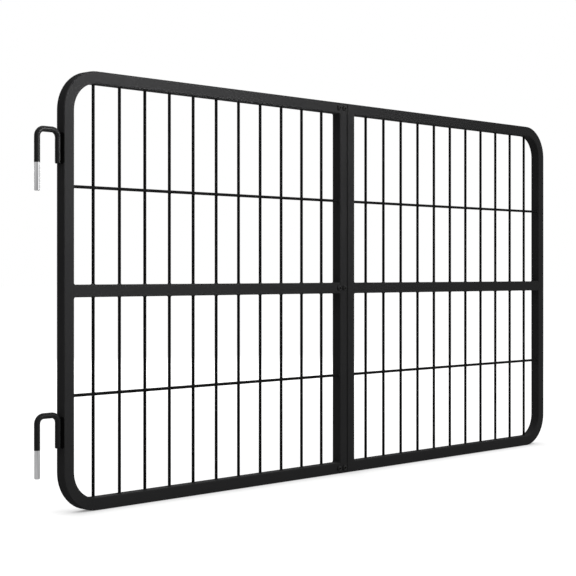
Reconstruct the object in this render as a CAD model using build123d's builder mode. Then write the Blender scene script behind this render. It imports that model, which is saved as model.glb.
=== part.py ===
"""Horse stall gate: two welded halves of bent square tube and wire mesh, joined at a middle seam.

The gate hangs on two bent-rod hooks whose pins drop into eyes on a door post. The origin is on the
pins' common axis, at the middle of the lower pin's bare length. +X runs across the gate to its free
end, the front faces -Y and +Z is up. All sizes are in millimetres.
"""

import os

from build123d import *

os.makedirs("parts", exist_ok=True)

# Frame of square steel tube, bent round its corners. The seam between the halves stands a little off the
# middle, towards the free end.
gate_width = 1320.0
gate_height = 698.0
tube_size = 20.0
tube_wall = 1.5
tube_edge_chamfer = 1.2
corner_inner_radius = 45.0
seam_gap = 1.2
seam_offset = 3.0

# Mesh of round wire: uprights behind, one cross wire in front of them in each opening. The plane where
# they touch lies a little in front of the tube's middle. There are many wires, so each is drawn with a
# few flats, and crossing wires meet flat on flat.
wire_diameter = 5.0
wire_flats = 12
wires_per_half = 11
wire_post_margin = 44.0
wire_stile_margin = 42.5
cross_wire_offset = 164.0
mesh_forward = 3.25

# Hinge hooks of round rod: a thick coat, drawn with fine flats, down to the pin, which is bare
rod_diameter = 9.0
coat_flats = 24
coat_thickness = 0.2
hook_reach = 39.5
hook_bend_radius = 12.0
hook_coated_height = 57.0
leg_end_chamfer = 1.0
pin_length = 44.0
pin_chamfer = 1.0
lower_pin_height = 60.0
upper_hook_drop = 93.0

# Splice sleeves of thicker square tube, inside the rails across the seam
sleeve_wall = 2.5
sleeve_edge_chamfer = 1.0
sleeve_clearance = 0.4
sleeve_reach = 40.0

# Button-head screws that hold the sleeves in the left half
screws_per_splice = 2
first_screw_inset = 8.2
screw_pitch = 15.0
screw_diameter = 6.0
screw_length = 10.0
screw_hole_clearance = 0.6
thread_clearance = 0.1
head_diameter = 10.5
head_height = 3.3
head_rim = 1.4
socket_across_flats = 4.0
socket_depth = 2.1

# Sizes and places that follow from those
half_tube = tube_size / 2
tube_bore = tube_size - 2 * tube_wall
half_width = gate_width / 2
opening_height = gate_height / 2 - tube_size - half_tube
wire_radius = wire_diameter / 2
y_uprights = wire_radius - mesh_forward
y_cross_wires = -wire_radius - mesh_forward
pin_radius = rod_diameter / 2
coated_radius = pin_radius + coat_thickness
sleeve_size = tube_bore - sleeve_clearance
x_middle = hook_reach + coated_radius + half_width
x_seam = x_middle + seam_offset
y_front = -half_tube
z_bottom = -(lower_pin_height + pin_length / 2)
z_top = z_bottom + gate_height
z_middle = (z_bottom + z_top) / 2
rail_axes = {"top": z_top - half_tube, "middle": z_middle, "bottom": z_bottom + half_tube}
hook_tops = {"lower": pin_length / 2 + hook_coated_height, "upper": z_top - upper_hook_drop}

# The left half lies towards -X from the seam and the right half towards +X
sides = {"left": -1, "right": 1}
rows = {"upper": 1, "lower": -1}


def seam_end(side):
    """Where the rails of one half end, half a gap from the seam's middle."""
    return x_seam + side * seam_gap / 2


def post_face(side):
    """The face of the outer post that looks into the opening."""
    return x_middle + side * (half_width - tube_size)


def opening_width(side):
    """From the outer post to the meeting stile of one half."""
    return side * (post_face(side) - seam_end(side)) - tube_size


def wire_spacing(side):
    """Between neighbouring uprights of one half, spread evenly between the margins of its opening."""
    return (opening_width(side) - wire_post_margin - wire_stile_margin) / (wires_per_half - 1)


def save(piece, name):
    """Label a finished piece and write it as its own file."""
    piece.part.label = name
    export_step(piece.part, f"parts/{name}.step")


def draw_square(size, edge_chamfer):
    """A square bar's outline with its edges broken, in the sketch that is open."""
    Rectangle(size, size)
    chamfer(vertices(), edge_chamfer)


def draw_tube_section():
    """The hollow square section of the frame tube, in the sketch that is open."""
    draw_square(tube_size, tube_edge_chamfer)
    Rectangle(tube_bore, tube_bore, mode=Mode.SUBTRACT)


def draw_round(radius, flats):
    """A round bar's outline with flats at that radius, two of them square to the sketch's x axis."""
    RegularPolygon(radius, flats, major_radius=False, rotation=180 / flats)


# Screws stand in a row from the left half's seam end, on the middle line of each rail
x_first_screw = seam_end(sides["left"]) - first_screw_inset
screw_columns = [x_first_screw - i * screw_pitch for i in range(screws_per_splice)]


def screw_places(z, y):
    """One splice's screw axes, on a wall whose outside is at y."""
    return [Plane((x, y, z), z_dir=(0, -1, 0)) for x in screw_columns]


def drill_tube_for_screws(z):
    """Clearance holes through the front wall of the tube that is open for work."""
    with Locations(*screw_places(z, y_front)):
        Hole(radius=(screw_diameter + screw_hole_clearance) / 2, depth=half_tube)


def frame_route(side):
    """The middle line of one half's top rail, outer post and bottom rail."""
    post_axis = post_face(side) + side * half_tube
    with BuildLine(Plane.XZ) as route:
        FilletPolyline(
            (seam_end(side), rail_axes["top"]),
            (post_axis, rail_axes["top"]),
            (post_axis, rail_axes["bottom"]),
            (seam_end(side), rail_axes["bottom"]),
            radius=corner_inner_radius + half_tube,
        )
    return route.line


# Each half's frame tube is bent from one length. A full bar of the same outline trims the wires later.
frame_bars = {}
for side_name, side in sides.items():
    route = frame_route(side)
    start = Plane(route @ 0, x_dir=(0, 1, 0), z_dir=route % 0)
    with BuildPart() as frame_tube:
        with BuildSketch(start):
            draw_tube_section()
        sweep(path=route)
        if side_name == "left":
            drill_tube_for_screws(rail_axes["top"])
            drill_tube_for_screws(rail_axes["bottom"])
    save(frame_tube, f"{side_name}_frame_tube")
    with BuildPart() as frame_bar:
        with BuildSketch(start):
            draw_square(tube_size, tube_edge_chamfer)
        sweep(path=route)
    frame_bars[side_name] = frame_bar.part

# Meeting stiles stand between the rails at the seam, with windows that let the middle sleeve through
for side_name, side in sides.items():
    stile_axis = seam_end(side) + side * half_tube
    with BuildPart() as stile:
        with BuildSketch(Plane((stile_axis, 0, z_bottom + tube_size))):
            draw_tube_section()
        extrude(amount=gate_height - 2 * tube_size)
        with BuildSketch(Plane((stile_axis, 0, z_middle), x_dir=(0, 1, 0), z_dir=(1, 0, 0))):
            Rectangle(tube_bore, tube_bore)
        extrude(amount=half_tube, both=True, mode=Mode.SUBTRACT)
        if side_name == "left":
            drill_tube_for_screws(z_middle)
    save(stile, f"{side_name}_meeting_stile")

# Middle rails run from the outer posts to the meeting stiles
for side_name, side in sides.items():
    with BuildPart() as middle_rail:
        with BuildSketch(Plane((post_face(side), 0, z_middle), x_dir=(0, 1, 0), z_dir=(-side, 0, 0))):
            draw_tube_section()
        extrude(amount=opening_width(side))
        if side_name == "left":
            drill_tube_for_screws(z_middle)
    save(middle_rail, f"{side_name}_middle_rail")

# Upright wires, counted from the post, stand on the middle rail, and their far ends are cut to the frame
# tube that they meet
for side_name, side in sides.items():
    x_first = post_face(side) - side * wire_post_margin
    for row_name, row in rows.items():
        for i in range(wires_per_half):
            foot = (x_first - side * i * wire_spacing(side), y_uprights, z_middle + row * half_tube)
            with BuildPart() as wire:
                with BuildSketch(Plane(foot, z_dir=(0, 0, row))):
                    draw_round(wire_radius, wire_flats)
                extrude(amount=opening_height + tube_wall)
                add(frame_bars[side_name], mode=Mode.SUBTRACT)
            save(wire, f"{row_name}_{side_name}_wire_{i + 1:02d}")

# Cross wires lie in front of the uprights, from post to stile
for side_name, side in sides.items():
    for row_name, row in rows.items():
        end = (post_face(side), y_cross_wires, z_middle + row * cross_wire_offset)
        with BuildPart() as cross_wire:
            with BuildSketch(Plane(end, z_dir=(-side, 0, 0))):
                draw_round(wire_radius, wire_flats)
            extrude(amount=opening_width(side))
        save(cross_wire, f"{row_name}_{side_name}_cross_wire")

# Hinge hooks: an inverted U against the outer post, with the pin going on down from its outer leg
for hook_name, hook_top in hook_tops.items():
    coat_end = hook_top - hook_coated_height
    top_axis = hook_top - coated_radius
    with BuildPart() as hook:
        with BuildLine(Plane.XZ) as bend:
            FilletPolyline(
                (hook_reach, coat_end),
                (hook_reach, top_axis),
                (0, top_axis),
                (0, coat_end),
                radius=hook_bend_radius,
            )
        with BuildSketch(Plane(bend.line @ 0, z_dir=bend.line % 0)):
            draw_round(coated_radius, coat_flats)
        sweep(path=bend.line)
        leg_ends = faces().group_by(Axis.Z)[0]
        chamfer(leg_ends.sort_by(Axis.X)[-1].edges(), leg_end_chamfer)
        with BuildSketch(Plane((0, 0, coat_end), z_dir=(0, 0, -1))):
            Circle(pin_radius)
        extrude(amount=pin_length)
        chamfer(edges().sort_by(Axis.Z)[0], pin_chamfer)
    save(hook, f"{hook_name}_hinge_hook")

# Splice sleeves bear on the inside of the rails' front wall, where their screws draw them
y_sleeve_front = y_front + tube_wall
for rail_name, z_rail in rail_axes.items():
    sleeve_start = (seam_end(sides["left"]) - sleeve_reach, y_sleeve_front + sleeve_size / 2, z_rail)
    with BuildPart() as sleeve:
        with BuildSketch(Plane(sleeve_start, x_dir=(0, 1, 0), z_dir=(1, 0, 0))):
            draw_square(sleeve_size, sleeve_edge_chamfer)
            Rectangle(sleeve_size - 2 * sleeve_wall, sleeve_size - 2 * sleeve_wall, mode=Mode.SUBTRACT)
        extrude(amount=2 * sleeve_reach + seam_gap)
        with Locations(*screw_places(z_rail, y_sleeve_front)):
            Hole(radius=screw_diameter / 2 + thread_clearance, depth=sleeve_size / 2)
    save(sleeve, f"{rail_name}_splice_sleeve")

# One button-head screw, with its head's underside at the origin
with BuildPart() as screw:
    with BuildSketch(Plane.XZ):
        with BuildLine():
            Polyline(
                (0, head_height),
                (0, -screw_length),
                (screw_diameter / 2, -screw_length),
                (screw_diameter / 2, 0),
                (head_diameter / 2, 0),
                (head_diameter / 2, head_rim),
            )
            TangentArc((0, head_height), (head_diameter / 2, head_rim), tangent=(1, 0))
        make_face()
    revolve(axis=Axis.Z)
    with BuildSketch(Plane.XY.offset(head_height)):
        RegularPolygon(radius=socket_across_flats / 2, side_count=6, major_radius=False)
    extrude(amount=-socket_depth, mode=Mode.SUBTRACT)

# The same screw in every hole of the three splices
with BuildPart() as splice_screws:
    for z_rail in rail_axes.values():
        with Locations(*screw_places(z_rail, y_front)):
            add(screw.part)
save(splice_screws, "splice_screws")
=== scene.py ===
# %% [markdown]
# # A horse stall gate in black powder-coated steel
#
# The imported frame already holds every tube, wire, hook, sleeve and screw of the gate at its real size.
# This lesson leaves them where they are and adds what the eye looks for: soft edges, the welds that hold
# the gate together, a baked black coat, two bare hinge pins, and the light of a small white studio.

# %% Load the frame
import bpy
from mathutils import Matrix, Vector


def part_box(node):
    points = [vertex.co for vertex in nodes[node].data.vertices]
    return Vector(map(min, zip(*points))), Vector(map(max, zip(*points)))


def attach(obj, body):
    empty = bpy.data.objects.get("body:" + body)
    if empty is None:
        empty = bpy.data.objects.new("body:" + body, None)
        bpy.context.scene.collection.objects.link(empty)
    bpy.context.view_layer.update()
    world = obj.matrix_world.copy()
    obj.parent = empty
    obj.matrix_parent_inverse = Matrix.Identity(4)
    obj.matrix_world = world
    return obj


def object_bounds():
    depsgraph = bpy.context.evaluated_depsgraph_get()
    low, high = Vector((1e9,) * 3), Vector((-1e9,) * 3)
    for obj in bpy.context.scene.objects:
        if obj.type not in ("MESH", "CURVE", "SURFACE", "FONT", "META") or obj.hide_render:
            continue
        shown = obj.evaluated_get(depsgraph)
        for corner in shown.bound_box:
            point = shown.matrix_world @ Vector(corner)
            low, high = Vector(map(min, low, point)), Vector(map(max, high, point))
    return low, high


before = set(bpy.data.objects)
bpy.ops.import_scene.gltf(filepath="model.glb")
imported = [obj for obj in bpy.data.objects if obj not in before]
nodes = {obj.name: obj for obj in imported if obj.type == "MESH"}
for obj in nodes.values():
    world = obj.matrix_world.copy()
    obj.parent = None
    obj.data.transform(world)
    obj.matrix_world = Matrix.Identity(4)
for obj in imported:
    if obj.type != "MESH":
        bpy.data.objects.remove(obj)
cad_box = [list(corner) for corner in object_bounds()]

import math
import random

import bmesh
import bpy
from mathutils import Vector

print(len(nodes), "nodes in a box of", [round(high - low, 3) for low, high in zip(*cad_box)], "m")

# %% [markdown]
# ## Which piece is which
#
# A gate has few kinds of pieces, and each kind is treated alike. The names in the frame say what a piece
# is, so short lists by name are enough, and a new wire or rail would fall into the right list by itself.

# %% Sort the pieces by kind
tubes = [name for name in nodes if name.endswith(("frame_tube", "meeting_stile", "middle_rail"))]
upright_wires = [name for name in nodes if "_wire_" in name]
cross_wires = [name for name in nodes if name.endswith("cross_wire")]
hooks = [name for name in nodes if name.endswith("hinge_hook")]
sleeves = [name for name in nodes if name.endswith("splice_sleeve")]
screws = ["splice_screws"]
print(len(tubes), "tubes,", len(upright_wires), "upright wires,", len(cross_wires), "cross wires")
print(len(hooks), "hooks,", len(sleeves), "sleeves and", len(screws), "set of screws")

# %% [markdown]
# ## Measure what the welds will sit on
#
# Welds have to follow the steel exactly, so their places come from the boxes of the nodes that they join.
# The tube's size is read from a stile, the wire's from an upright, and the middle rail gives its own
# height.

# %% Read sizes from the frame
MM = 0.001
stile_low, stile_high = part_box("left_meeting_stile")
rail_low, rail_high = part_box("left_middle_rail")
wire_low, wire_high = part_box("upper_left_wire_01")
tube_size = stile_high.y - stile_low.y
half_tube = tube_size / 2
wire_radius = (wire_high.y - wire_low.y) / 2
rail_height = (rail_low.z + rail_high.z) / 2
print("tube", round(tube_size / MM, 2), "mm, wire", round(2 * wire_radius / MM, 2), "mm")

# %% [markdown]
# ## The photograph's camera
#
# The gate is seen from the front left, from about the height of its middle rail, with a long lens.
# Upright lines stay upright in the picture, so the camera is level and the picture is shifted a little
# instead of tilting the camera. The heading is counted from the +Y direction towards +X.

# %% Set up the camera
camera_place = Vector((-1.3000, -1.7940, 0.2952))
camera_heading = math.radians(45.968)
sensor_in_mm = 36.0
lens_in_mm = 88.60
picture_shift = -0.0259
camera_data = bpy.data.cameras.new("photo_camera")
camera_data.sensor_width = sensor_in_mm
camera_data.lens = lens_in_mm
camera_data.shift_y = picture_shift
camera = bpy.data.objects.new("photo_camera", camera_data)
camera.location = camera_place
camera.rotation_euler = (math.radians(90), 0, -camera_heading)
bpy.context.scene.collection.objects.link(camera)
bpy.context.scene.camera = camera
print("camera", round((stile_low - camera_place).length, 2), "m from the seam")

# %% [markdown]
# ## Soft edges
#
# Square tube is rolled from strip, so its edges are round, and a thick coat rounds them further. The
# frame has them as flat chamfers, and its wires have twelve flats. Moving vertices is out of the
# question, because the frame is fixed, but modifiers are free. On every piece a small geometry group
# joins the split corners and shades gentle edges smooth. On tubes and sleeves a decimate then clears the
# lines across flat faces, and a bevel rounds what is still sharp. Subdivision would round the edges too,
# but it would soften the flat faces.

# %% A geometry group that joins corners and shades smooth
touching = 0.01 * MM


def make_smooth_group():
    """Geometry nodes that join split corners, then shade every edge below an angle smooth."""
    group = bpy.data.node_groups.new("smooth_steel", "GeometryNodeTree")
    group.interface.new_socket("Geometry", in_out="INPUT", socket_type="NodeSocketGeometry")
    group.interface.new_socket("Sharp angle", in_out="INPUT", socket_type="NodeSocketFloat")
    group.interface.new_socket("Geometry", in_out="OUTPUT", socket_type="NodeSocketGeometry")
    add = group.nodes.new
    entry = add("NodeGroupInput")
    join = add("GeometryNodeMergeByDistance")
    join.inputs["Distance"].default_value = touching
    forget = add("GeometryNodeRemoveAttribute")
    forget.inputs["Name"].default_value = "custom_normal"
    smooth_faces = add("GeometryNodeSetShadeSmooth")
    angle = add("GeometryNodeInputMeshEdgeAngle")
    gentle = add("FunctionNodeCompare")
    gentle.data_type = "FLOAT"
    gentle.operation = "LESS_THAN"
    smooth_edges = add("GeometryNodeSetShadeSmooth")
    smooth_edges.domain = "EDGE"
    leave = add("NodeGroupOutput")
    for source, target in (
        (entry.outputs["Geometry"], join.inputs["Geometry"]),
        (join.outputs["Geometry"], forget.inputs["Geometry"]),
        (forget.outputs["Geometry"], smooth_faces.inputs["Geometry"]),
        (smooth_faces.outputs["Geometry"], smooth_edges.inputs["Geometry"]),
        (angle.outputs["Unsigned Angle"], gentle.inputs["A"]),
        (entry.outputs["Sharp angle"], gentle.inputs["B"]),
        (gentle.outputs["Result"], smooth_edges.inputs["Shade Smooth"]),
        (smooth_edges.outputs["Geometry"], leave.inputs["Geometry"]),
    ):
        group.links.new(source, target)
    return group


smooth_group = make_smooth_group()
print("smooth group with", len(smooth_group.nodes), "nodes and", len(smooth_group.links), "links")

# %% Shade every node smooth
def shade_smooth(piece, sharp_angle):
    """Join a piece's corners and keep only edges above the angle sharp."""
    modifier = piece.modifiers.new("smooth", "NODES")
    modifier.node_group = smooth_group
    socket = smooth_group.interface.items_tree["Sharp angle"].identifier
    modifier[socket] = sharp_angle


tube_sharp = math.radians(30)
wire_sharp = math.radians(50)
rod_sharp = math.radians(40)
for names, sharp_angle in (
    (tubes + sleeves, tube_sharp),
    (upright_wires + cross_wires, wire_sharp),
    (hooks + screws, rod_sharp),
):
    for name in names:
        shade_smooth(nodes[name], sharp_angle)
    print(len(names), "nodes stay sharp above", round(math.degrees(sharp_angle)), "degrees")

# %% Round the edges of tubes and sleeves
flat_limit = math.radians(1)
tube_bevel = 0.5 * MM
sleeve_bevel = 0.4 * MM


def round_edges(piece, width, segments):
    """Clear the lines across a square tube's flat faces and bevel its sharp edges."""
    flatten = piece.modifiers.new("flat_faces", "DECIMATE")
    flatten.decimate_type = "DISSOLVE"
    flatten.angle_limit = flat_limit
    bevel = piece.modifiers.new("round_edges", "BEVEL")
    bevel.width = width
    bevel.segments = segments
    bevel.limit_method = "ANGLE"
    bevel.angle_limit = tube_sharp
    bevel.harden_normals = True


for name in tubes:
    round_edges(nodes[name], tube_bevel, segments=3)
for name in sleeves:
    round_edges(nodes[name], sleeve_bevel, segments=2)
print("soft edges on", len(tubes) + len(sleeves), "square tubes")

# %% [markdown]
# ## Grain of a baked coat
#
# Powder paint melts and sets in an oven. It leaves a fine orange-peel skin, and the gloss drifts a little
# over a hand's width. A picture of paint could be wrapped over the gate, but noise in the object's own
# metres needs no unwrapping and suits every tube. Both the gate's coat and the screws' finish need it, so
# it is a node group: the peel goes out as a height, the drift as a mask.

# %% Node group for the coat's grain
def new_shader_group(name, inputs, outputs):
    """An empty shader group with float inputs and float outputs, and its two end nodes."""
    group = bpy.data.node_groups.new(name, "ShaderNodeTree")
    for label in inputs:
        group.interface.new_socket(label, in_out="INPUT", socket_type="NodeSocketFloat")
    for label in outputs:
        group.interface.new_socket(label, in_out="OUTPUT", socket_type="NodeSocketFloat")
    return group, group.nodes.new("NodeGroupInput"), group.nodes.new("NodeGroupOutput")


def make_coat_grain():
    """Orange peel as a height and slow drift as a mask, both in the object's own metres."""
    group, entry, leave = new_shader_group(
        "coat_grain", ["Peel per metre", "Drift per metre"], ["Peel", "Drift"]
    )
    place = group.nodes.new("ShaderNodeTexCoord")
    for label, detail in (("Peel", 2.0), ("Drift", 3.0)):
        noise = group.nodes.new("ShaderNodeTexNoise")
        noise.inputs["Detail"].default_value = detail
        group.links.new(place.outputs["Object"], noise.inputs["Vector"])
        group.links.new(entry.outputs[label + " per metre"], noise.inputs["Scale"])
        group.links.new(noise.outputs["Fac"], leave.inputs[label])
    return group


coat_grain = make_coat_grain()
print("coat grain:", [item.name for item in coat_grain.interface.items_tree])

# %% [markdown]
# ## Drawn steel
#
# Rod is drawn through a die, which leaves faint lines along it, and plating follows them. On this gate
# they show only on the bare pins, which stand upright. Such lines are too fine to be cut into a mesh, so
# they are a mask: noise that is fine across the rod and stretched along its Z axis. A second noise, the
# same in all directions, gives the plating its cloudy gloss.

# %% Node group for drawn lines
cloud_rate = 120.0


def make_drawn_lines():
    """Fine lines along the object's Z axis, and an even cloud, as two masks."""
    group, entry, leave = new_shader_group("drawn_lines", ["Across", "Along"], ["Lines", "Cloud"])
    place = group.nodes.new("ShaderNodeTexCoord")
    stretch = group.nodes.new("ShaderNodeCombineXYZ")
    scaled = group.nodes.new("ShaderNodeVectorMath")
    scaled.operation = "MULTIPLY"
    group.links.new(entry.outputs["Across"], stretch.inputs["X"])
    group.links.new(entry.outputs["Across"], stretch.inputs["Y"])
    group.links.new(entry.outputs["Along"], stretch.inputs["Z"])
    group.links.new(place.outputs["Object"], scaled.inputs[0])
    group.links.new(stretch.outputs["Vector"], scaled.inputs[1])
    for label, vector, rate, detail in (
        ("Lines", scaled.outputs["Vector"], 1.0, 3.0),
        ("Cloud", place.outputs["Object"], cloud_rate, 4.0),
    ):
        noise = group.nodes.new("ShaderNodeTexNoise")
        noise.inputs["Scale"].default_value = rate
        noise.inputs["Detail"].default_value = detail
        group.links.new(vector, noise.inputs["Vector"])
        group.links.new(noise.outputs["Fac"], leave.inputs[label])
    return group


drawn_lines = make_drawn_lines()
print("drawn lines:", [item.name for item in drawn_lines.interface.items_tree])

# %% [markdown]
# ## Finishes
#
# The gate has three finishes: black powder coat, bright plating and black oxide. They differ in colour,
# roughness and grain, but they are put together from the same few steps, so each step is a small helper.
# Noise seldom leaves the middle of its range, so colour and roughness are spread over that part of it.

# %% Helpers for finishes
mask_low = 0.3
mask_high = 0.7


def new_finish(name):
    """A new material, its node tree and its Principled shader."""
    material = bpy.data.materials.new(name)
    material.use_nodes = True
    tree = material.node_tree
    return material, tree, tree.nodes["Principled BSDF"]


def place_group(tree, group, **values):
    """Put a node group in a material and set its inputs by name, with _ for each space."""
    node = tree.nodes.new("ShaderNodeGroup")
    node.node_tree = group
    for label, value in values.items():
        node.inputs[label.replace("_", " ")].default_value = value
    return node


def tone(tree, mask, shader, dark, light):
    """Colour the shader from dark to light over a mask."""
    ramp = tree.nodes.new("ShaderNodeValToRGB")
    ramp.color_ramp.elements[0].position = mask_low
    ramp.color_ramp.elements[0].color = (*dark, 1)
    ramp.color_ramp.elements[1].position = mask_high
    ramp.color_ramp.elements[1].color = (*light, 1)
    tree.links.new(mask, ramp.inputs["Fac"])
    tree.links.new(ramp.outputs["Color"], shader.inputs["Base Color"])


def vary_roughness(tree, mask, shader, low, high):
    """Let the roughness run from low to high over a mask."""
    spread = tree.nodes.new("ShaderNodeMapRange")
    spread.inputs["From Min"].default_value = mask_low
    spread.inputs["From Max"].default_value = mask_high
    spread.inputs["To Min"].default_value = low
    spread.inputs["To Max"].default_value = high
    tree.links.new(mask, spread.inputs["Value"])
    tree.links.new(spread.outputs["Result"], shader.inputs["Roughness"])


def bump(tree, height, shader, depth, strength):
    """Raise the surface by a height mask, depth metres from its lowest to its highest."""
    node = tree.nodes.new("ShaderNodeBump")
    node.inputs["Distance"].default_value = depth
    node.inputs["Strength"].default_value = strength
    tree.links.new(height, node.inputs["Height"])
    tree.links.new(node.outputs["Normal"], shader.inputs["Normal"])


print("masks are spread from", mask_low, "to", mask_high)

# %% [markdown]
# ## The black coat
#
# The whole gate has one powder paint, yet it doesn't look equally black all over. Flat tubes are a matt
# dark grey, and the bent rods of the hooks shine more. The darker greys are painted shade, shaded copies of
# the one coat: the rods are darker than the tubes, the thin wires are nearly black, and the welds along the
# hooks are the blackest. One function makes the coat in these four depths, so that grain and tint stay the
# same. Its gloss is a plain number, and is set on the shader itself.

# %% Four depths of coat
peel_rate = 900.0
drift_rate = 14.0
peel_depth = 0.015 * MM
tone_spread = 0.06
cool_tint = 1.02
roughness_spread = 0.04


def make_black_coat(name, grey, roughness, gloss, peel):
    """Black powder paint around a grey level and a roughness, with its gloss and how strong its peel is."""
    material, tree, shader = new_finish(name)
    grain = place_group(tree, coat_grain, Peel_per_metre=peel_rate, Drift_per_metre=drift_rate)
    dark = (1 - tone_spread) * grey
    light = (1 + tone_spread) * grey
    drift = grain.outputs["Drift"]
    tone(tree, drift, shader, (dark, dark, cool_tint * dark), (light, light, cool_tint * light))
    vary_roughness(tree, drift, shader, roughness - roughness_spread, roughness + roughness_spread)
    bump(tree, grain.outputs["Peel"], shader, peel_depth, peel)
    shader.inputs["Specular IOR Level"].default_value = gloss
    return material


black_coat = make_black_coat("black_coat_finish", grey=0.0285, roughness=0.90, gloss=0.015, peel=0.25)
# Rods, wires and hook welds get darker greys of the same coat: painted shade. The rods' lower roughness is
# a real difference in gloss.
rod_shade_coat = make_black_coat("rod_coat_painted_shade", grey=0.013, roughness=0.36, gloss=0.06, peel=0.2)
wire_shade_coat = make_black_coat("wire_coat_painted_shade", grey=0.005, roughness=0.70, gloss=0.03, peel=0.05)
weld_shade_coat = make_black_coat("weld_coat_painted_shade", grey=0.003, roughness=0.50, gloss=0.010, peel=0.2)
print("coats:", [coat.name for coat in (black_coat, rod_shade_coat, wire_shade_coat, weld_shade_coat)])

# %% [markdown]
# ## Bright plating
#
# The pins are bare rod with a bright plating. Polished metal takes its look from the room around it, so
# the shader is all metal and smooth, and the drawn lines only shade its grey and break up its reflections
# a little.

# %% The finish of the pins
pin_dark = (0.25, 0.25, 0.255)
pin_light = (0.49, 0.49, 0.495)
lines_across = 420.0
lines_along = 12.0
line_depth = 0.02 * MM
line_strength = 0.02


def make_bare_pin():
    """Plated drawn rod with lines along the pin."""
    material, tree, shader = new_finish("bare_pin_finish")
    drawn = place_group(tree, drawn_lines, Across=lines_across, Along=lines_along)
    tone(tree, drawn.outputs["Lines"], shader, pin_dark, pin_light)
    vary_roughness(tree, drawn.outputs["Cloud"], shader, low=0.07, high=0.11)
    bump(tree, drawn.outputs["Lines"], shader, line_depth, line_strength)
    shader.inputs["Metallic"].default_value = 1.0
    return material


bare_pin = make_bare_pin()
print(bare_pin.name, "with", round(lines_across * MM, 2), "lines per mm")

# %% [markdown]
# ## Black oxide
#
# Button-head screws come with a thin black skin of oxide, a little glossier than the coat around them. It
# is the coat's grain again at a finer rate, so it needs no nodes of its own.

# %% The finish of the screws
screw_dark = (0.0070, 0.0070, 0.0071)
screw_light = (0.0110, 0.0109, 0.0108)
screw_peel_rate = 2200.0
screw_drift_rate = 160.0
screw_peel = 0.5
screw_gloss = 0.10


def make_black_screw():
    """Black-oxide steel, a little glossier than the coat around it."""
    material, tree, shader = new_finish("black_screw_finish")
    grain = place_group(
        tree, coat_grain, Peel_per_metre=screw_peel_rate, Drift_per_metre=screw_drift_rate
    )
    tone(tree, grain.outputs["Drift"], shader, screw_dark, screw_light)
    vary_roughness(tree, grain.outputs["Drift"], shader, low=0.36, high=0.46)
    bump(tree, grain.outputs["Peel"], shader, peel_depth, screw_peel)
    shader.inputs["Specular IOR Level"].default_value = screw_gloss
    return material


black_screw = make_black_screw()
print(black_screw.name, "with grain at", round(screw_peel_rate * MM, 2), "per mm")

# %% Give the finishes to the nodes
# Wires and the sleeves in the seam gaps take the near-black copy of the coat, which is painted shade.
for names, finish in (
    (tubes, black_coat),
    (upright_wires + cross_wires + sleeves, wire_shade_coat),
    (hooks, rod_shade_coat),
    (screws, black_screw),
):
    for name in names:
        nodes[name].data.materials.clear()
        nodes[name].data.materials.append(finish)
    print(finish.name, "on", len(names), "nodes")

# %% [markdown]
# ## Bare pins
#
# The coat stops where the hook's pin begins, because the pin turns in an eye and the coat would bind. The
# pin belongs to the same piece of rod, so it is the same node: its faces only get another material. A
# pin's faces are those near the hinge axis, at X = 0, and below the end of the coat.

# %% Paint the pins' faces with their own finish
coated_height = 57 * MM
near_axis = 10 * MM
for name in hooks:
    hook = nodes[name]
    coat_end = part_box(name)[1].z - coated_height
    hook.data.materials.append(bare_pin)
    pin_slot = len(hook.data.materials) - 1
    bare_faces = 0
    for face in hook.data.polygons:
        if face.center.x < near_axis and face.center.z < coat_end - touching:
            face.material_index = pin_slot
            bare_faces += 1
    print(name, "coat ends at", round(coat_end / MM, 1), "mm, bare faces", bare_faces)

# %% [markdown]
# ## Welds between tubes
#
# Each stile and middle rail is cut square and welded to the tube that it meets. On the inside corners the
# bead stays, as a fillet. On the front and the back it is ground down to a hair below the face, and only
# fills the notch that the rounded edge of the other tube leaves. A curve with a round profile could be a
# bead, but its toes would not lie on both tubes. So a bead is a strip of rings along the corner: each
# ring runs from one toe to the other over a low crown, and closes through the root.

# %% Draw one weld bead
ripple_pitch = 1.6 * MM
ripple_height = 0.06
crown_points = 4
rings_per_ripple = 3
end_shrink = 0.7


def join_rings(mesh, rings):
    """Close a row of rings into a solid: a band between neighbours and a cap at each end."""
    for ring, following in zip(rings, rings[1:]):
        for j in range(len(ring)):
            k = (j + 1) % len(ring)
            mesh.faces.new((ring[j], ring[k], following[k], following[j]))
    mesh.faces.new(list(reversed(rings[0])))
    mesh.faces.new(rings[-1])


def add_bead(mesh, start, end, toe_a, toe_b, crown, taper):
    """Add a bead along a corner, with toes at two offsets from it and ends that shrink over a taper."""
    length = (end - start).length
    ripples = max(2, round(length / ripple_pitch))
    ring_count = ripples * rings_per_ripple
    lift = (toe_a + toe_b).normalized() * crown
    rings = []
    for i in range(ring_count + 1):
        share = i / ring_count
        from_end = min(share, 1 - share) * length
        fade = 1.0
        if from_end < taper:
            fade = math.sqrt(1 - end_shrink * (1 - from_end / taper) ** 2)
        swell = fade * (1 + ripple_height * abs(math.sin(math.pi * ripples * share)))
        centre = start.lerp(end, share)
        ring = [mesh.verts.new(centre - lift)]
        for j in range(crown_points + 1):
            across = j / crown_points
            offset = toe_a.lerp(toe_b, across) + lift * 4 * across * (1 - across)
            ring.append(mesh.verts.new(centre + offset * swell))
        rings.append(ring)
    join_rings(mesh, rings)


print("beads have a ripple every", round(ripple_pitch / MM, 2), "mm")

# %% Turn a weld mesh into a piece
weld_sharp = math.radians(60)


def finish_welds(name, mesh, finish):
    """Make a painted piece of a finished weld mesh, and let it ride on the gate."""
    bmesh.ops.recalc_face_normals(mesh, faces=mesh.faces[:])
    data = bpy.data.meshes.new(name)
    mesh.to_mesh(data)
    mesh.free()
    data.materials.append(finish)
    piece = bpy.data.objects.new(name, data)
    bpy.context.scene.collection.objects.link(piece)
    shade_smooth(piece, weld_sharp)
    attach(piece, "root")
    print(name, len(data.polygons), "faces")


print("welds stay sharp above", round(math.degrees(weld_sharp)), "degrees")

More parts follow.
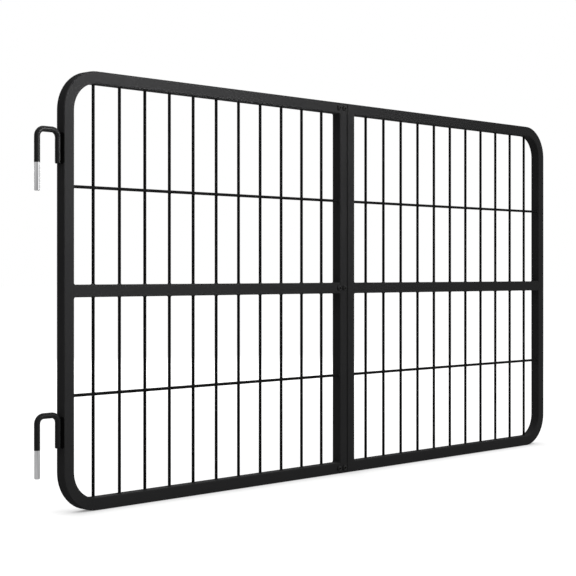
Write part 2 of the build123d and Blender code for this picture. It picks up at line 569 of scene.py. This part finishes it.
# %% Weld the end of each tube
edge_radius = 1.2 * MM
end_inset = 0.4 * MM
fillet_leg = 1.8 * MM
fillet_crown = 0.25 * MM
fillet_taper = 2 * MM
filler_overlap = 0.8 * MM
filler_crown = 0.12 * MM
filler_sink = 0.2 * MM
filler_taper = 1 * MM
right = Vector((1, 0, 0))
back = Vector((0, 1, 0))
up = Vector((0, 0, 1))


def weld_tube_end(mesh, centre, along, across, corners):
    """Weld a tube's end: fillets at the given corners (+1 or -1 across), fillers front and back."""
    reach = half_tube - end_inset
    for corner in corners:
        root = centre + across * corner * half_tube
        add_bead(mesh, root - back * reach, root + back * reach,
                 along * fillet_leg, across * corner * fillet_leg, fillet_crown, fillet_taper)
    for face in (-1, 1):
        root = centre + back * face * (half_tube - edge_radius)
        rise = back * face * (edge_radius - filler_sink)
        over_edge = rise - along * (edge_radius + filler_overlap)
        over_tube = rise + along * filler_overlap
        add_bead(mesh, root - across * reach, root + across * reach,
                 over_edge, over_tube, filler_crown, filler_taper)


for half, side in (("left", -1), ("right", 1)):
    frame_welds = bmesh.new()
    low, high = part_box(half + "_meeting_stile")
    stile_x = (low.x + high.x) / 2
    weld_tube_end(frame_welds, Vector((stile_x, 0, high.z)), -up, right, [side])
    weld_tube_end(frame_welds, Vector((stile_x, 0, low.z)), up, right, [side])
    low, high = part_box(half + "_middle_rail")
    weld_tube_end(frame_welds, Vector((low.x, 0, rail_height)), right, up, [-1, 1])
    weld_tube_end(frame_welds, Vector((high.x, 0, rail_height)), -right, up, [-1, 1])
    finish_welds(half + "_frame_welds", frame_welds, black_coat)

# %% [markdown]
# ## Welds of the mesh
#
# Every wire ends in a small collar of weld on the tube that it meets, and crossing wires are pressed
# together while a current melts them into one small nugget. Squashed spheres would do for the nuggets,
# but a collar slopes up along its wire. So both are turned shapes: a short profile of radius and height
# goes round an axis, which is the wire's own for a collar and runs through both wires for a nugget. The
# collars take the coat of the tubes and the nuggets that of the wires, so each half has two pieces. A
# seeded wobble keeps the welds from being all alike.

# %% Draw one turned weld
round_steps = 16
wobble_seed = 7
wobble = random.Random(wobble_seed)


def add_turned(mesh, foot, axis, profile, unevenness):
    """Add a closed turned shape: a profile of (radius, height) pairs round an axis through its foot."""
    side = axis.orthogonal().normalized()
    front = axis.cross(side)
    lean = wobble.uniform(0, 2 * math.pi)
    rings = []
    for radius, height in profile:
        ring = []
        for i in range(round_steps):
            angle = 2 * math.pi * i / round_steps
            waves = math.sin(2 * angle + lean) + 0.5 * math.sin(3 * angle - lean)
            reach = radius * (1 + unevenness * waves)
            outward = side * math.cos(angle) + front * math.sin(angle)
            ring.append(mesh.verts.new(foot + axis * height + outward * reach))
        rings.append(ring)
    join_rings(mesh, rings)


print("turned welds have", round_steps, "sides")

# %% Profiles of collar and nugget
collar_reach = 1.1 * MM
collar_rise = 1.5 * MM
collar_sink = 0.1 * MM
collar_unevenness = 0.06
collar_profile = [
    (wire_radius + collar_reach, -collar_sink),
    (wire_radius + 0.75 * collar_reach, 0.35 * collar_rise),
    (wire_radius + 0.3 * collar_reach, 0.75 * collar_rise),
    (wire_radius - collar_sink, collar_rise),
]
nugget_height = 0.8 * MM
nugget_unevenness = 0.08
nugget_shares = [(0.6, -1.0), (1.1, -0.5), (1.25, 0.0), (1.1, 0.5), (0.6, 1.0)]
nugget_profile = [(wide * wire_radius, high * nugget_height) for wide, high in nugget_shares]
print("collar", round(2 * collar_profile[0][0] / MM, 1), "mm wide")
print("nugget", round(2 * nugget_profile[2][0] / MM, 1), "mm wide")

# %% Weld the wires' ends and crossings
for half in ("left", "right"):
    end_welds = bmesh.new()
    cross_welds = bmesh.new()
    for row in ("upper", "lower"):
        cross_low, cross_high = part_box(f"{row}_{half}_cross_wire")
        cross_centre = (cross_low + cross_high) / 2
        for end, axis in ((cross_low.x, right), (cross_high.x, -right)):
            foot = Vector((end, cross_centre.y, cross_centre.z))
            add_turned(end_welds, foot, axis, collar_profile, collar_unevenness)
        for name in upright_wires:
            if not name.startswith(f"{row}_{half}_"):
                continue
            low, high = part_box(name)
            centre = (low + high) / 2
            for end, axis in ((low.z, up), (high.z, -up)):
                foot = Vector((centre.x, centre.y, end))
                add_turned(end_welds, foot, axis, collar_profile, collar_unevenness)
            crossing = Vector((centre.x, low.y, cross_centre.z))
            add_turned(cross_welds, crossing, back, nugget_profile, nugget_unevenness)
    finish_welds(half + "_wire_end_welds", end_welds, black_coat)
    # The nuggets take the wires' near-black copy of the coat: painted shade.
    finish_welds(half + "_wire_cross_welds", cross_welds, wire_shade_coat)

# %% [markdown]
# ## Welds of the hooks
#
# Each hook's inner leg lies along the outer post and is welded to it at the front and at the back. The weld
# fills the groove beside the rod, right up to the rounded edge of the post. Its near-black coat is painted
# shade: the shadow that falls in this groove, laid on as a flat black strip. The bead of the tubes serves
# again: one toe laps a little over the post's edge, and the other lies on the round rod, some way round
# from the line where it touches the post.

# %% Weld the hooks to the post
post_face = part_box("left_frame_tube")[0].x
weld_overrun = 0.6 * MM
weld_drop = 8 * MM
hook_weld_crown = 0.4 * MM
hook_weld_taper = 3 * MM
toe_lap = 0.6 * MM
toe_angle = math.radians(60)
hook_welds = bmesh.new()
for name in hooks:
    low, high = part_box(name)
    rod_radius = (high.y - low.y) / 2
    bottom = up * (high.z - coated_height - weld_overrun)
    top = up * (high.z - weld_drop)
    for face in (-1, 1):
        root = Vector((post_face, face * rod_radius, 0))
        on_post = Vector((toe_lap / 2, face * (half_tube - edge_radius + toe_lap - rod_radius), 0))
        on_rod = Vector((math.cos(toe_angle) - 1, face * (math.sin(toe_angle) - 1), 0)) * rod_radius
        add_bead(hook_welds, root + bottom, root + top,
                 on_post, on_rod, hook_weld_crown, hook_weld_taper)
# The hook welds' near-black coat is painted shade in the groove beside each leg.
finish_welds("hook_welds", hook_welds, weld_shade_coat)

# %% [markdown]
# ## A white studio
#
# The gate stands on a pale floor in front of white. A white floor under strong lamps would do it, but those
# would flood the gate with light as well. So the floor is plain pale paint, and a white glow is added only
# where the camera, a reflection or a clear piece sees it. The glow fades close to the gate, by ambient
# occlusion, which paints a soft contact shadow into it on top of the real shadow in the paint.

# %% Floor paint
floor_grey = 0.48
floor_glow = 0.715
contact_reach = 40 * MM
contact_shade = 0.52


def seen_directly(tree):
    """A mask that is 1 for what the camera, a reflection or a clear piece sees."""
    path = tree.nodes.new("ShaderNodeLightPath")
    glossy = tree.nodes.new("ShaderNodeMath")
    glossy.operation = "MAXIMUM"
    clear = tree.nodes.new("ShaderNodeMath")
    clear.operation = "MAXIMUM"
    tree.links.new(path.outputs["Is Camera Ray"], glossy.inputs[0])
    tree.links.new(path.outputs["Is Glossy Ray"], glossy.inputs[1])
    tree.links.new(glossy.outputs["Value"], clear.inputs[0])
    tree.links.new(path.outputs["Is Transmission Ray"], clear.inputs[1])
    return clear.outputs["Value"]


def make_floor_paint():
    """Pale matt paint, with a white glow added where it is seen directly, dimmed near the gate into a
    painted contact shadow.
    """
    material, tree, shader = new_finish("floor_paint")
    shader.inputs["Base Color"].default_value = (floor_grey, floor_grey, floor_grey, 1)
    shader.inputs["Roughness"].default_value = 1.0
    shader.inputs["Specular IOR Level"].default_value = 0.0
    shader.inputs["Emission Color"].default_value = (1, 1, 1, 1)
    # Ambient occlusion dims the glow near the gate: a painted contact shadow.
    nearness = tree.nodes.new("ShaderNodeAmbientOcclusion")
    nearness.inputs["Distance"].default_value = contact_reach
    glow = tree.nodes.new("ShaderNodeMapRange")
    glow.inputs["To Min"].default_value = floor_glow - contact_shade
    glow.inputs["To Max"].default_value = floor_glow
    tree.links.new(nearness.outputs["AO"], glow.inputs["Value"])
    share = tree.nodes.new("ShaderNodeMath")
    share.operation = "MULTIPLY"
    tree.links.new(seen_directly(tree), share.inputs[0])
    tree.links.new(glow.outputs["Result"], share.inputs[1])
    tree.links.new(share.outputs["Value"], shader.inputs["Emission Strength"])
    return material


floor_paint = make_floor_paint()
print(floor_paint.name, "glows at", floor_glow, "and fades", round(contact_reach / MM), "mm from the gate")

# %% Floor
gate_middle = Vector((0.7, 0, 0.27))
floor_size = 60.0
floor_level = cad_box[0][2]
floor_mesh = bmesh.new()
bmesh.ops.create_grid(floor_mesh, x_segments=1, y_segments=1, size=floor_size / 2)
floor_data = bpy.data.meshes.new("floor")
floor_mesh.to_mesh(floor_data)
floor_mesh.free()
floor_data.materials.append(floor_paint)
floor = bpy.data.objects.new("floor", floor_data)
floor.location = (gate_middle.x, gate_middle.y, floor_level)
bpy.context.scene.collection.objects.link(floor)
print("floor at", round(floor_level / MM, 1), "mm")

# %% [markdown]
# ## The room
#
# A photographer's white room is a bright backdrop to the eye and a soft even light on the steel. White
# walls could be modelled, but the world does both without them: it is white to the camera and to
# reflections, and a dim light to everything else.

# %% Room
room_light = 0.23
world = bpy.data.worlds.new("white_room")
world.use_nodes = True
bpy.context.scene.world = world
room_tree = world.node_tree
background = room_tree.nodes["Background"]
background.inputs["Color"].default_value = (1, 1, 1, 1)
level = room_tree.nodes.new("ShaderNodeMapRange")
level.inputs["To Min"].default_value = room_light
level.inputs["To Max"].default_value = 1.0
room_tree.links.new(seen_directly(room_tree), level.inputs["Value"])
room_tree.links.new(level.outputs["Result"], background.inputs["Strength"])
print(world.name, "lights the gate at", room_light)

# %% [markdown]
# ## Lamps
#
# A soft ceiling light gives the floor its shadow. A key lamp with a narrow spread stands at the right in
# front, and is aimed above the top left corner, so that this corner is brightest and the light fades to
# the right and down. A wider fill from the same side lifts the lower rails, and a rear lamp shows the
# back. The faces that look left stay dark, because no lamp stands on that side. One large lamp in front
# would be simpler, but it would light the whole front alike.

# %% Lamps
def add_lamp(name, kind, place, target):
    """A lamp of some kind at a place, turned to a target."""
    data = bpy.data.lights.new(name, kind)
    lamp = bpy.data.objects.new(name, data)
    lamp.location = place
    lamp.rotation_euler = (target - place).to_track_quat("-Z", "Y").to_euler()
    bpy.context.scene.collection.objects.link(lamp)
    print(name, round((target - place).length, 2), "m from its target")
    return data


def add_square_lamp(name, place, target, size, watts):
    """A soft square lamp of a size in metres."""
    data = add_lamp(name, "AREA", place, target)
    data.shape = "SQUARE"
    data.size = size
    data.energy = watts
    return data


over_gate = Vector((gate_middle.x, gate_middle.y, 3))
under_gate = Vector((gate_middle.x, gate_middle.y, 0))
above_top_left = Vector((-0.13, 0, 1.39))
ceiling = add_lamp("ceiling_light", "SUN", over_gate, under_gate)
ceiling.energy = 1.3
ceiling.angle = math.radians(90)
key = add_square_lamp("key_lamp", Vector((1.9, -3.4, 1.9)), above_top_left, size=1.2, watts=27.4)
key.spread = math.radians(33)
add_square_lamp("fill_lamp", Vector((2.6, -2.8, 0.9)), gate_middle, size=1.6, watts=28.5)
add_square_lamp("rear_lamp", Vector((2.2, 3.0, 1.3)), gate_middle, size=1.6, watts=45.0)

# %% [markdown]
# ## The colour view
#
# Colours are shown as they are written, through the standard view transform.

# %% Set the view transform
bpy.context.scene.view_settings.view_transform = "Standard"
